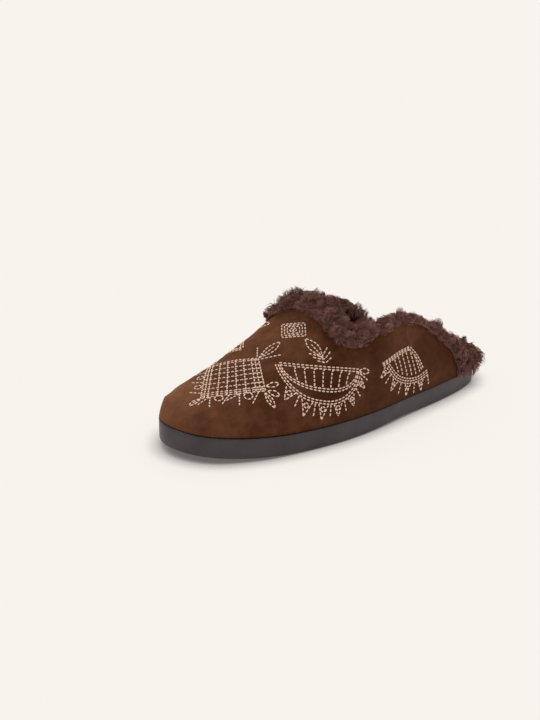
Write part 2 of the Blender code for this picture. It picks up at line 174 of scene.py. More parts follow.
def mixColours(nodes, links, share, first, second, blend="MIX"):
    node = nodes.new("ShaderNodeMix")
    node.data_type = "RGBA"
    node.blend_type = blend
    for socket, value in (("Factor", share), ("A", first), ("B", second)):
        named = [s for s in node.inputs if s.name == socket]
        target = named[0] if socket == "Factor" else [s for s in named if s.type == "RGBA"][0]
        if isinstance(value, bpy.types.NodeSocket):
            links.new(value, target)
        elif socket == "Factor":
            target.default_value = value
        else:
            target.default_value = (*value, 1.0)
    return [s for s in node.outputs if s.type == "RGBA"][0]


def bumpNode(nodes, links, height, strength, distance, below=None):
    node = nodes.new("ShaderNodeBump")
    node.inputs["Strength"].default_value = strength
    node.inputs["Distance"].default_value = distance
    links.new(height, node.inputs["Height"])
    if below is not None:
        links.new(below.outputs["Normal"], node.inputs["Normal"])
    return node


def give(piece, made):
    piece.data.materials.clear()
    piece.data.materials.append(made)


# camera at the photo's angle, with the shoe where the photo has it

cameraSetup = {
    "azimuth": 52.43,      # degrees round the shoe, where 0 looks along +Y
    "elevation": 21.0,
    "distance": 1.300,
    "aim": (-0.10278, -0.06071, 0.0),      # the floor at the middle of the photo
    "lens": 85.98,
    "sensor": 36.0,
}


def makeCamera(setup):
    turn = math.radians(setup["azimuth"])
    rise = math.radians(setup["elevation"])
    back = Vector((math.sin(turn) * math.cos(rise), -math.cos(turn) * math.cos(rise), math.sin(rise)))
    bpy.ops.object.camera_add()
    camera = bpy.context.active_object
    camera.name = "photoCamera"
    camera.location = Vector(setup["aim"]) + back * setup["distance"]
    camera.rotation_euler = (-back).to_track_quat("-Z", "Y").to_euler()
    camera.data.sensor_width = setup["sensor"]
    camera.data.lens = setup["lens"]
    camera.data.clip_end = 50.0
    bpy.context.scene.camera = camera


# pale floor that glows evenly, with a painted contact shadow, and soft light

stageSetup = {
    "floorSize": 14.0,
    "floorColour": (0.12, 0.117, 0.116),
    "floorGlow": (0.818, 0.773, 0.737),
    "contactReach": 0.014,
    "contactShade": [(0.30, (0.16, 0.15, 0.15)), (0.62, (0.62, 0.61, 0.61)), (0.97, (1.0, 1.0, 1.0))],
    "worldColour": (1.0, 0.965, 0.925),
    "worldStrength": 0.62,
    "keyDirection": (0.35, -0.55, -1.0),      # the way the light travels
    "keyStrength": 1.75,
    "keyAngle": 38.0,
    "keyColour": (1.0, 0.985, 0.96),
    "exposure": 0.0,
}


def makeStage(setup):
    bpy.ops.mesh.primitive_plane_add(size=setup["floorSize"])
    floor = bpy.context.active_object
    floor.name = "floor"
    made, nodes, links = newMaterial("paleFloor")
    shader = nodes["Principled BSDF"]
    shader.inputs["Base Color"].default_value = (*setup["floorColour"], 1.0)
    shader.inputs["Roughness"].default_value = 0.9
    shader.inputs["Specular IOR Level"].default_value = 0.0
    # painted shadow: ambient occlusion darkens the floor's glow where the shoe stands near it
    contact = nodes.new("ShaderNodeAmbientOcclusion")
    contact.samples = 12
    contact.inputs["Distance"].default_value = setup["contactReach"]
    shade = rampNode(nodes, links, contact.outputs["AO"], setup["contactShade"])
    glow = mixColours(nodes, links, 1.0, shade.outputs["Color"], setup["floorGlow"], "MULTIPLY")
    links.new(glow, shader.inputs["Emission Color"])
    shader.inputs["Emission Strength"].default_value = 1.0
    give(floor, made)

    scene = bpy.context.scene
    scene.world = bpy.data.worlds.new("studio")
    scene.world.use_nodes = True
    background = scene.world.node_tree.nodes["Background"]
    background.inputs["Color"].default_value = (*setup["worldColour"], 1.0)
    background.inputs["Strength"].default_value = setup["worldStrength"]

    bpy.ops.object.light_add(type="SUN")
    key = bpy.context.active_object
    key.name = "keyLight"
    key.data.energy = setup["keyStrength"]
    key.data.angle = math.radians(setup["keyAngle"])
    key.data.color = setup["keyColour"]
    key.rotation_euler = Vector(setup["keyDirection"]).to_track_quat("-Z", "Y").to_euler()
    scene.view_settings.view_transform = "Standard"
    scene.view_settings.exposure = setup["exposure"]


makeCamera(cameraSetup)
makeStage(stageSetup)
print("mule: camera and stage")


# unit sole: the CAD form with rounded edges, in satin rubber

soleLook = {
    "colour": (0.032, 0.0240, 0.0268),
    "colourWorn": (0.052, 0.0395, 0.0440),
    "roughness": 0.46,
    "sharpAngle": 35.0,
    "creaseWeight": 0.75,
    "treadRows": 27,
    "treadPitch": 0.0086,
    "treadWidth": 0.0026,
    "treadDepth": 0.0011,
    "treadMargin": 0.0105,
    "treadWave": 0.0016,
    "treadTurns": 5.0,      # waves in each treadSpan across the sole
    "treadSpan": 0.08,
    "treadCuts": 21,
    "shortestBar": 0.014,
    "groundHeight": 0.0012,      # the ground face lies below this
}


def creaseEdges(piece, angle, weight):
    # holds the edges that turn more than the angle when the piece is subdivided
    shape = bmesh.new()
    shape.from_mesh(piece.data)
    crease = shape.edges.layers.float.new("crease_edge")
    for edge in shape.edges:
        if len(edge.link_faces) == 2 and edge.calc_face_angle() > math.radians(angle):
            edge[crease] = weight
    shape.to_mesh(piece.data)
    shape.free()


def soleSpan(points, y, margin):
    # how far across the ground face reaches here along the shoe, and a little before and behind
    spans = []
    for place in (y - 0.005, y, y + 0.005):
        near = points[np.abs(points[:, 1] - place) < 0.003]
        if len(near) < 2:
            return None
        spans.append((near[:, 0].min() + margin, near[:, 0].max() - margin))
    return max(s[0] for s in spans), min(s[1] for s in spans)


def makeTreadCutter(piece, look):
    # wavy bars below the ground face, joined, to cut the grooves between the treads
    points = readVectors(piece.data)
    ground = points[points[:, 2] < look["groundHeight"]]
    heel = ground[:, 1].max() - look["treadMargin"]
    bars = []
    for row in range(look["treadRows"]):
        y = heel - row * look["treadPitch"]
        span = soleSpan(ground, y, look["treadMargin"])
        if span is None or span[1] - span[0] < look["shortestBar"]:
            continue
        bpy.ops.object.select_all(action="DESELECT")
        bpy.ops.mesh.primitive_cube_add(size=1.0)
        bar = bpy.context.active_object
        bar.scale = (span[1] - span[0], look["treadWidth"], 2 * look["treadDepth"])
        bar.location = ((span[0] + span[1]) / 2, y, 0.0)
        bpy.ops.object.transform_apply()
        bpy.ops.object.mode_set(mode="EDIT")
        bpy.ops.mesh.select_all(action="DESELECT")
        bpy.ops.object.mode_set(mode="OBJECT")
        for edge in bar.data.edges:
            ends = [bar.data.vertices[i].co for i in edge.vertices]
            edge.select = abs(ends[0].x - ends[1].x) > 0.005
        bpy.ops.object.mode_set(mode="EDIT")
        bpy.ops.mesh.select_mode(type="EDGE")
        bpy.ops.mesh.subdivide(number_cuts=look["treadCuts"])
        bpy.ops.object.mode_set(mode="OBJECT")
        places = readVectors(bar.data)
        turn = (places[:, 0] - span[0]) / look["treadSpan"] * look["treadTurns"] * 2 * math.pi
        places[:, 1] += look["treadWave"] * np.sin(turn)
        writePoints(bar.data, places)
        bars.append(bar)
    bpy.ops.object.select_all(action="DESELECT")
    for bar in bars:
        bar.select_set(True)
    bpy.context.view_layer.objects.active = bars[0]
    bpy.ops.object.join()
    return bars[0]


def makeSole(look):
    piece = copyNode("outsole", "unitSole")
    creaseEdges(piece, look["sharpAngle"], look["creaseWeight"])
    subdivide(piece, 2)
    cutter = makeTreadCutter(piece, look)
    applyModifier(piece, "BOOLEAN", operation="DIFFERENCE", solver="EXACT", object=cutter)
    bpy.data.objects.remove(cutter)
    shadeSmooth(piece, look["sharpAngle"])
    give(piece, makeRubber(look))
    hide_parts("outsole")
    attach(piece, "root")
    return piece


def makeRubber(look):
    made, nodes, links = newMaterial("satinRubber")
    shader = nodes["Principled BSDF"]
    place = nodes.new("ShaderNodeTexCoord").outputs["Object"]
    patches = noiseNode(nodes, links, place, 55.0)
    stops = [(0.30, look["colour"]), (0.72, look["colourWorn"])]
    ramp = rampNode(nodes, links, patches.outputs["Fac"], stops)
    links.new(ramp.outputs["Color"], shader.inputs["Base Color"])
    grain = noiseNode(nodes, links, place, 1600.0, 2.0)
    bump = bumpNode(nodes, links, grain.outputs["Fac"], 0.12, 0.0002)
    links.new(bump.outputs["Normal"], shader.inputs["Normal"])
    shader.inputs["Roughness"].default_value = look["roughness"]
    shader.inputs["Specular IOR Level"].default_value = 0.42
    return made


sole = makeSole(soleLook)
print("mule: sole", len(sole.data.polygons))


# suede upper: the CAD shell made smooth, with listed creases worked in

suedeLook = {
    "dark": (0.044, 0.0135, 0.0052),
    "middle": (0.083, 0.0265, 0.0100),
    "light": (0.205, 0.0830, 0.0420),
    "roughness": 0.95,
    "sheen": 0.16,
    "napAndLightStops": (0.96, 1.34, 2.02),      # the value of the brushed nap with its painted light and shade, for dark, middle and light
    # painted shade along the foot of the upper, where it meets the sole
    "paintedEdgeShade": 0.20,
    "edgeHeights": (0.0140, 0.0190),      # painted shade, darker below, down to the sole
    "sharpAngle": 42.0,
    "creaseWeight": 0.9,
    "smoothAngle": 50.0,
    "fixedHeights": (0.0165, 0.0240),      # no crease below the first
    "fullHeights": (0.0150, 0.0185),
    "rollShare": 0.45,      # height of the roll beside a crease, as a share of the crease's depth
    "rollPlace": 1.9,      # in widths of the crease
    "unevenness": [(0.16, 75), (0.30, 26)],      # millimetres, and how closely it changes
}

# places in millimetres, in the shoe's own frame: a run of points, width, depth
creases = [
    ([(46, -104, 20), (41, -101, 34), (33, -99, 46)], 5.0, 0.55),
    ([(47, -118, 20), (43, -113, 32), (37, -110, 43)], 4.0, 0.40),
    ([(-44, -128, 20), (-42, -124, 32), (-36, -121, 44)], 4.5, 0.50),
    ([(44, -30, 30), (42, -44, 42), (39, -62, 52)], 6.0, 0.45),
    ([(-40, -60, 24), (-40, -48, 38), (-38, -30, 44)], 6.0, 0.45),
    ([(26, -196, 26), (6, -208, 27), (-14, -208, 26)], 5.0, 0.35),
    ([(24, -92, 58), (28, -104, 54), (31, -118, 50)], 5.0, 0.45),
]

# how the nap lies, partly brushed nap and partly painted light and shade, lighter where light falls on
# the toe and the top and darker mostly on the outer side: place, radius, and how much lighter or darker
# it makes the suede
napAndLightSpots = [
    ((-14, -212, 26), 22, 0.62),
    ((-30, -190, 34), 18, 0.30),
    ((14, -208, 24), 14, 0.26),
    ((2, -212, 20), 9, 0.16),
    ((-2, -104, 76), 22, 0.40),
    ((-16, -140, 64), 20, 0.34),
    ((38, -46, 56), 14, 0.12),
    ((40, -16, 34), 18, -0.12),
    ((44, -52, 18), 14, -0.14),
    ((31, -195, 29), 11, 0.24),
    ((38, -180, 27), 12, 0.12),
    ((41, -94, 57), 9, 0.12),
    ((19, -117, 66), 11, 0.18),
    ((46, -146, 15), 12, -0.12),
    ((26, -182, 34), 12, 0.18),
    ((20, -128, 60), 14, 0.12),
    ((45, -122, 42), 15, -0.30),
    ((28, -152, 50), 11, -0.26),
    ((46, -40, 24), 18, -0.16),
    ((34, -84, 50), 12, -0.24),
    ((0, -172, 47), 15, -0.24),
    ((46, -88, 24), 14, -0.12),
]


def distanceToRun(points, run):
    # from each point to a line through the given places, in millimetres
    best = np.full(len(points), 1e9)
    places = np.array(run, float)
    for start, end in zip(places[:-1], places[1:]):
        along = end - start
        share = np.clip((points - start) @ along / (along @ along), 0.0, 1.0)
        best = np.minimum(best, np.linalg.norm(points - start - share[:, None] * along, axis=1))
    return best


def creaseSuede(piece, runs, look):
    # soft troughs with a low roll beside them; both faces of the suede move together
    points = readVectors(piece.data)
    normals = readVectors(piece.data, "normal")
    outwards = np.sign(np.einsum("ij,ij->i", normals, points - np.column_stack([
        np.zeros(len(points)), points[:, 1], np.full(len(points), 0.022)])))
    depth = np.zeros(len(points))
    for run, width, deep in runs:
        far = distanceToRun(points * 1000, run)
        depth += deep * np.exp(-((far / width) ** 2))
        beside = far - look["rollPlace"] * width
        depth -= look["rollShare"] * deep * np.exp(-((beside / width) ** 2))
    for i, point in enumerate(points):
        at = Vector(point)
        depth[i] += sum(height * noise.noise(at * scale) for height, scale in look["unevenness"])
    hold = easeBetween(points[:, 2], *look["fixedHeights"])      # nothing moves where it meets the sole
    writePoints(piece.data, points - normals * (outwards * depth * hold * 0.001)[:, None])


# where the suede stands fuller than the shell: place, radius, and the way it moves, in millimetres
fullPlaces = [
    ((-31, -197, 22), 12, (-1.5, -0.7, 0.0)),
    ((-22, -211, 21), 11, (-0.8, -0.9, 0.0)),
    ((-34, -178, 22), 12, (-1.1, -0.1, 0.0)),
    ((-31, -202, 31), 8, (1.3, 0.5, -0.6)),
    ((-33, -188, 34), 9, (0.9, 0.2, -0.5)),
]


def nearness(points, place, radius):
    # 1 at the place and fading round it, where place and radius are in millimetres
    far = np.linalg.norm(points * 1000 - np.array(place, float), axis=1)
    return np.exp(-((far / radius) ** 2))


def fillSuede(piece, places, look):
    points = readVectors(piece.data)
    hold = easeBetween(points[:, 2], *look["fullHeights"])
    for place, radius, move in places:
        points += (hold * nearness(points, place, radius))[:, None] * np.array(move) / 1000
    writePoints(piece.data, points)


def paintNapLightAndShade(piece, spots, look):
    # a value for each point, from brushed nap with painted light and shade at the spots and painted shade
    # down towards the sole
    points = readVectors(piece.data)
    napAndLight = np.full(len(points), 0.5)
    for place, radius, amount in spots:
        napAndLight += amount * nearness(points, place, radius)
    napAndLight -= look["paintedEdgeShade"] * (1 - easeBetween(points[:, 2], *look["edgeHeights"]))
    attribute = piece.data.attributes.new("napAndLight", "FLOAT", "POINT")
    attribute.data.foreach_set("value", napAndLight.astype(np.float32))


def makeUpper(look):
    piece = copyNode("upper", "suedeUpper")
    creaseEdges(piece, look["sharpAngle"], look["creaseWeight"])
    subdivide(piece, 2)
    fillSuede(piece, fullPlaces, look)
    creaseSuede(piece, creases, look)
    paintNapLightAndShade(piece, napAndLightSpots, look)
    shadeSmooth(piece, look["smoothAngle"])
    give(piece, makeSuede(look))
    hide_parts("upper")
    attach(piece, "root")
    return piece


def addScaled(nodes, links, first, scale, second):
    # the first value times the scale, added to the second
    node = nodes.new("ShaderNodeMath")
    node.operation = "MULTIPLY_ADD"
    links.new(first, node.inputs[0])
    node.inputs[1].default_value = scale
    links.new(second, node.inputs[2])
    return node.outputs[0]


def makeSuede(look):
    made, nodes, links = newMaterial("brownSuede")
    shader = nodes["Principled BSDF"]
    place = nodes.new("ShaderNodeTexCoord").outputs["Object"]
    # this attribute carries the brushed nap with its painted light and shade into the mottling
    napAndLight = nodes.new("ShaderNodeAttribute")
    napAndLight.attribute_name = "napAndLight"
    broad = noiseNode(nodes, links, place, 38.0, 6.0, 0.62)
    brushing = noiseNode(nodes, links, place, 150.0, 6.0, 0.70)
    fine = noiseNode(nodes, links, place, 1100.0, 3.0, 0.7)
    uneven = addScaled(nodes, links, broad.outputs["Fac"], 1.15, napAndLight.outputs["Fac"])
    uneven = addScaled(nodes, links, brushing.outputs["Fac"], 0.60, uneven)
    darkest, between, lightest = look["napAndLightStops"]
    spread = nodes.new("ShaderNodeMapRange")
    links.new(uneven, spread.inputs["Value"])
    spread.inputs["From Min"].default_value = darkest
    spread.inputs["From Max"].default_value = lightest
    middle = (between - darkest) / (lightest - darkest)
    stops = [(0.0, look["dark"]), (middle, look["middle"]), (1.0, look["light"])]
    mottled = rampNode(nodes, links, spread.outputs["Result"], stops)
    stops = [(0.3, (0.80, 0.80, 0.80)), (0.7, (1.0, 1.0, 1.0))]
    speckle = rampNode(nodes, links, fine.outputs["Fac"], stops)
    colour = mixColours(nodes, links, 1.0, mottled.outputs["Color"], speckle.outputs["Color"], "MULTIPLY")
    links.new(colour, shader.inputs["Base Color"])
    soft = bumpNode(nodes, links, brushing.outputs["Fac"], 0.22, 0.0005)
    pile = bumpNode(nodes, links, fine.outputs["Fac"], 0.50, 0.0003, soft)
    links.new(pile.outputs["Normal"], shader.inputs["Normal"])
    shader.inputs["Roughness"].default_value = look["roughness"]
    shader.inputs["Specular IOR Level"].default_value = 0.08
    shader.inputs["Sheen Weight"].default_value = look["sheen"]
    shader.inputs["Sheen Roughness"].default_value = 0.55
    shader.inputs["Sheen Tint"].default_value = (0.80, 0.40, 0.20, 1.0)
    return made


upper = makeUpper(suedeLook)
upperTree = treeOf(upper)
soleTree = treeOf(sole)
print("mule: upper", len(upper.data.polygons))


# shearling: a lumpy base under separate curled strands

pileLook = {
    # painted shade: the darkest colour is at the roots, deep in the pile, the lightest at the tips
    "root": (0.050, 0.0225, 0.0175),
    "middle": (0.225, 0.1060, 0.0850),
    "tip": (0.450, 0.2300, 0.1900),
    "roughness": 0.95,
    "sheen": 0.35,
}


def makePile(name, look):
    # the attribute read here holds painted shade: it runs from 0, darkest, in the depth of the pile to 1,
    # lightest, at its tips, with random tone from place to place on top
    made, nodes, links = newMaterial(name)
    shader = nodes["Principled BSDF"]
    toneAndShade = nodes.new("ShaderNodeAttribute")
    toneAndShade.attribute_name = "toneAndShade"
    stops = [(0.0, look["root"]), (0.5, look["middle"]), (1.0, look["tip"])]
    ramp = rampNode(nodes, links, toneAndShade.outputs["Fac"], stops)
    place = nodes.new("ShaderNodeTexCoord").outputs["Object"]
    drift = noiseNode(nodes, links, place, 95.0, 3.0, 0.6)
    stops = [(0.32, (0.74, 0.70, 0.68)), (0.66, (1.0, 1.0, 1.0))]
    shade = rampNode(nodes, links, drift.outputs["Fac"], stops)
    colour = mixColours(nodes, links, 1.0, ramp.outputs["Color"], shade.outputs["Color"], "MULTIPLY")
    links.new(colour, shader.inputs["Base Color"])
    shader.inputs["Roughness"].default_value = look["roughness"]
    shader.inputs["Specular IOR Level"].default_value = 0.12
    shader.inputs["Sheen Weight"].default_value = look["sheen"]
    shader.inputs["Sheen Roughness"].default_value = 0.45
    shader.inputs["Sheen Tint"].default_value = (0.62, 0.42, 0.37, 1.0)
    return made


def setToneAndShade(mesh, shadedTones):
    attribute = mesh.attributes.new("toneAndShade", "FLOAT", "POINT")
    attribute.data.foreach_set("value", shadedTones.astype(np.float32))


def gapTo(tree, points):
    # the distance from each point to a piece, and minus that inside it
    gaps = np.empty(len(points))
    for i, point in enumerate(points):
        place, normal, _, far = tree.find_nearest(point)
        gaps[i] = far if (Vector(point) - place).dot(normal) >= 0 else -far
    return gaps


def swellPile(piece, setup, seed):
    # soft lumps with low locks on them, set back by what the strands add
    mesh = piece.data
    points = readVectors(mesh)
    normals = readVectors(mesh, "normal")
    drift = Vector((seed * 7.1, seed * 3.3, seed * 5.7))
    heights = np.empty(len(points))
    shadedTones = np.empty(len(points))
    for i, point in enumerate(points):
        at = Vector(point)
        lump = noise.noise(at / setup["lumpSize"] + drift)
        wander = noise.noise_vector(at / (setup["lockSize"] * 1.5) + drift)
        wander *= setup["lockSize"] * setup["lockWander"]
        near = noise.voronoi((at + wander) / setup["lockSize"] + drift)[0][0]
        dome = 1.0 - min(near, 1.0) ** 2
        heights[i] = lump * setup["lumpHeight"] + (dome - setup["domeLevel"]) * setup["lockHeight"]
        # painted light and shade: lighter on the lock domes and the tops of the lumps, darker in the
        # hollows between them
        shadedTones[i] = setup["paintedDepthShade"] + setup["paintedDomeLight"] * dome + setup["paintedLumpLight"] * lump
    upperRoom = gapTo(upperTree, points)
    room = np.minimum(upperRoom, gapTo(soleTree, points))
    free = easeBetween(room, *setup["freeRoom"])
    front = 1 - easeBetween(points[:, 1], *setup["frontEnds"])
    heights *= 1 - setup["frontCalm"] * front
    front *= easeBetween(points[:, 0], *setup["innerEnd"])
    setBack = setup["setBack"] + (setup["setBackFront"] - setup["setBack"]) * front
    # the lip over the suede is drawn in, and its under side stays where it is
    nearest = np.array([upperTree.find_nearest(point)[0] for point in points])
    facing = -np.einsum("ij,ij->i", normals, unit(points - nearest))
    lip = 1 - easeBetween(upperRoom, *setup["lipReach"])
    lip *= 1 - easeBetween(facing, *setup["lipFacing"])
    lip *= 1 - easeBetween(points[:, 1], *setup["lipEnds"])
    setBack += setup["lipBack"] * lip
    heights = (heights - setBack) * np.maximum(free, lip)
    writePoints(mesh, points + normals * heights[:, None])
    setToneAndShade(mesh, np.clip(shadedTones, 0.0, 1.0))


shearling = makePile("darkShearling", pileLook)
footbedPile = makePile("footbedShearling", dict(pileLook, tip=(0.300, 0.1600, 0.1300)))

furSetup = {
    "voxel": 0.0011,
    "smoothing": 8,
    "smoothFactor": 0.6,
    "lumpSize": 0.0088,
    "lumpHeight": 0.0034,
    "lockSize": 0.0056,
    "lockHeight": 0.0012,
    "lockWander": 0.35,
    "domeLevel": 0.6,      # the part of a lock's dome that stays in the CAD face
    # painted shade in the hollows of the base, and painted light on its domes and lumps
    "paintedDepthShade": 0.10,
    "paintedDomeLight": 0.30,
    "paintedLumpLight": 0.20,
    "freeRoom": (0.0006, 0.0035),      # nothing moves nearer to the suede or sole than the first
    "setBack": 0.0026,
    "setBackFront": 0.0002,
    "frontEnds": (-0.092, -0.070),      # along the shoe
    "frontCalm": 0.5,      # how much lower the lumps are at the front
    "innerEnd": (-0.036, -0.016),      # across the shoe
    "lipBack": 0.0024,
    "lipReach": (0.0030, 0.0070),
    "lipFacing": (-0.2, 0.5),
    "lipEnds": (-0.022, -0.004),
}
footbedSetup = dict(
    furSetup,
    voxel=0.0014,
    smoothing=3,
    lumpSize=0.0090,
    lumpHeight=0.0006,
    lockSize=0.0036,
    lockHeight=0.0009,
    setBack=0.0004,
    setBackFront=0.0004,
    frontCalm=0.0,
    lipBack=0.0,
    lipReach=(-0.002, -0.001),      # none: the footbed has no lip
)


def makeFurBase(nodeName, pieceName, setup, made, seed):
    piece = copyNode(nodeName, pieceName)
    applyModifier(piece, "REMESH", mode="VOXEL", voxel_size=setup["voxel"])
    applyModifier(piece, "SMOOTH", factor=setup["smoothFactor"], iterations=setup["smoothing"])
    swellPile(piece, setup, seed)
    shadeSmooth(piece)
    give(piece, made)
    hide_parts(nodeName)
    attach(piece, "root")
    return piece


liningSetup = {
    "clear": 0.0002,
    "thickness": 0.0019,
    "lumpSize": 0.0045,
    "lumpHeight": 0.0005,
    "middleHeight": 0.028,
    "toeMiddle": -0.190,
    "leastInwards": 0.25,      # how squarely a face looks at the middle to be an inner one
    "toneAndShade": 0.22,
    # painted light on the raised lumps of the lining
    "paintedLumpLight": 0.22,
}


def makeLining(setup):
    # the inner face of the suede copied, thickened towards the foot and roughened as cut pile
    piece = copyNode("upper", "shearlingLining")
    shape = bmesh.new()
    shape.from_mesh(piece.data)
    outside = []
    for face in shape.faces:
        middle = face.calc_center_median()
        inwards = Vector((0.0, max(middle.y, setup["toeMiddle"]), setup["middleHeight"])) - middle
        if face.normal.dot(inwards.normalized()) < setup["leastInwards"]:
            outside.append(face)
    bmesh.ops.delete(shape, geom=outside, context="FACES")
    shape.to_mesh(piece.data)
    shape.free()
    subdivide(piece, 1)
    points = readVectors(piece.data)
    normals = readVectors(piece.data, "normal")
    shadedTones = np.empty(len(points))
    for i, point in enumerate(points):
        lump = noise.noise(Vector(point) / setup["lumpSize"])
        points[i] += normals[i] * (setup["clear"] + setup["lumpHeight"] * lump)
        # painted light: the raised lumps are lighter than the rest of the lining
        shadedTones[i] = setup["toneAndShade"] + setup["paintedLumpLight"] * lump
    writePoints(piece.data, points)
    setToneAndShade(piece.data, shadedTones)
    applyModifier(piece, "SOLIDIFY", thickness=setup["thickness"], offset=1.0)
    shadeSmooth(piece)
    give(piece, shearling)
    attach(piece, "root")
    return piece


lining = makeLining(liningSetup)
print("mule: lining", len(lining.data.polygons))

collarBase = makeFurBase("fur_collar", "collarShearling", furSetup, shearling, 1)
heelBase = makeFurBase("heel_fur", "heelShearling", furSetup, shearling, 2)
footbed = makeFurBase("insole", "shearlingFootbed", footbedSetup, footbedPile, 3)
print("mule: shearling bases", [len(p.data.polygons) for p in (collarBase, heelBase, footbed)])


# separate strands on the bases, drawn together in locks

strandSetup = {
    "perArea": 1.22,      # strands for each square millimetre
    "length": (0.0036, 0.0060),
    "width": 0.00017,
    "lockSpacing": 0.0066,
    "gather": 0.48,
    "curl": 0.0013,
    "turns": (0.5, 1.3),
    "lean": 0.55,
    "loose": 0.20,
    "droop": 0.0005,
    "heelDroop": 0.0042,
    "heelEnds": (0.000, 0.016),
    "clearance": 0.0003,
    "clearRoot": 0.6,      # share of the clearance at the root; the tip has one whole more
    "rootGap": 0.0009,      # no root nearer to the suede or sole
    "combSize": 0.016,
    "ownLength": (0.80, 1.12),
    "ownWidth": (0.80, 1.25),
    "shortShare": 0.34,      # of the length, where the pile meets the suede
    "shortReach": (0.001, 0.008),
    # painted shade at the root and painted light at the tip; the tones that follow vary from place to
    # place at random
    "paintedRootShade": 0.22,
    "paintedTipLight": 0.62,      # painted light: what the tip adds to the value at the root
    "paintedShadeRise": 0.8,
    "lockTone": (-0.08, 0.10),
    "ownTone": 0.04,
    "hillTone": 0.16,
    "hillSize": 0.0105,
    "frontLine": -0.075,      # the collar's strands ahead of it are one piece
}
hairShape = {
    "sides": 3,
    "levels": 4,
    "taper": 0.82,
}
slant = (0.31, 0.83, 0.46)      # a direction off the axes, from which sideways is taken


def modelStrand(shape):
    # one tapered hair, one unit long, which every strand copies
    bpy.ops.object.select_all(action="DESELECT")
    bpy.ops.mesh.primitive_circle_add(vertices=shape["sides"], radius=1.0, fill_type="NGON")
    hair = bpy.context.active_object
    bpy.ops.object.mode_set(mode="EDIT")
    bpy.ops.mesh.select_all(action="SELECT")
    step = 1.0 / shape["levels"]
    for level in range(shape["levels"]):
        bpy.ops.mesh.extrude_region_move(TRANSFORM_OT_translate={"value": (0, 0, step)})
        if level < shape["levels"] - 1:
            bpy.ops.transform.resize(value=(shape["taper"], shape["taper"], 1.0))
    bpy.ops.mesh.merge(type="CENTER")
    bpy.ops.object.mode_set(mode="OBJECT")
    return takeTriangles(hair)


strandPoints, strandFaces = modelStrand(hairShape)

drawStep = 0.00002      # places closer than this draw the same numbers
drawKeys = (12.9898, 78.2330, 37.7190)
drawApart = 0.618034      # from one number of a place to its next
seedApart = 1.7
drawScale = 43758.5453


def drawAt(points, count, seed):
    # even numbers from 0 to 1 that follow from each place, so the order of the faces doesn't matter
    steps = np.rint(points / drawStep) @ np.array(drawKeys)
    turns = steps[:, None] * (1 + drawApart * np.arange(count)) + seedApart * np.reshape(seed, (-1, 1))
    return np.abs(np.sin(turns) * drawScale) % 1.0


def bellAt(points, count, seed):
    # as drawAt, but spread round 0 as a bell
    even = drawAt(points, count * 4, seed).reshape(len(points), count, 4)
    return (even.sum(axis=2) - 2.0) * math.sqrt(3.0)


def scatterRoots(piece, perArea, seed):
    # places and normals on the piece's faces, spread by area
    polygons = piece.data.polygons
    centres = np.empty(len(polygons) * 3)
    normals = np.empty(len(polygons) * 3)
    areas = np.empty(len(polygons))
    polygons.foreach_get("center", centres)
    polygons.foreach_get("normal", normals)
    polygons.foreach_get("area", areas)
    centres, normals = centres.reshape(-1, 3), normals.reshape(-1, 3)
    counts = (areas * 1e6 * perArea + drawAt(centres, 1, seed)[:, 0]).astype(int)
    faces = np.repeat(np.arange(len(areas)), counts)
    within = np.arange(len(faces)) - np.repeat(np.cumsum(counts) - counts, counts)
    shifts = (drawAt(centres[faces], 2, seed + 10 + within) - 0.5) * np.sqrt(areas[faces])[:, None]
    ups = normals[faces]
    sideways = unit(np.cross(ups, slant))
    roots = centres[faces] + sideways * shifts[:, :1] + np.cross(ups, sideways) * shifts[:, 1:]
    order = np.lexsort(np.rint(roots / drawStep).T)
    return roots[order], ups[order]


def gatherLocks(roots, ups, setup, seed):
    # the strands in the middle of each lock, the lock of every strand, and each lock's combing
    lockShare = 1 / (setup["perArea"] * 1e6 * setup["lockSpacing"] ** 2)
    chosen = np.flatnonzero(drawAt(roots, 1, seed + 1)[:, 0] < lockShare)
    finder = kdtree.KDTree(len(chosen))
    for i, root in enumerate(chosen):
        finder.insert(roots[root], i)
    finder.balance()
    lock = np.array([finder.find(root)[1] for root in roots])
    combing = np.array([noise.noise_vector(Vector(roots[i]) / setup["combSize"]) for i in chosen])
    combing -= ups[chosen] * np.einsum("ij,ij->i", combing, ups[chosen])[:, None]
    return chosen, lock, combing


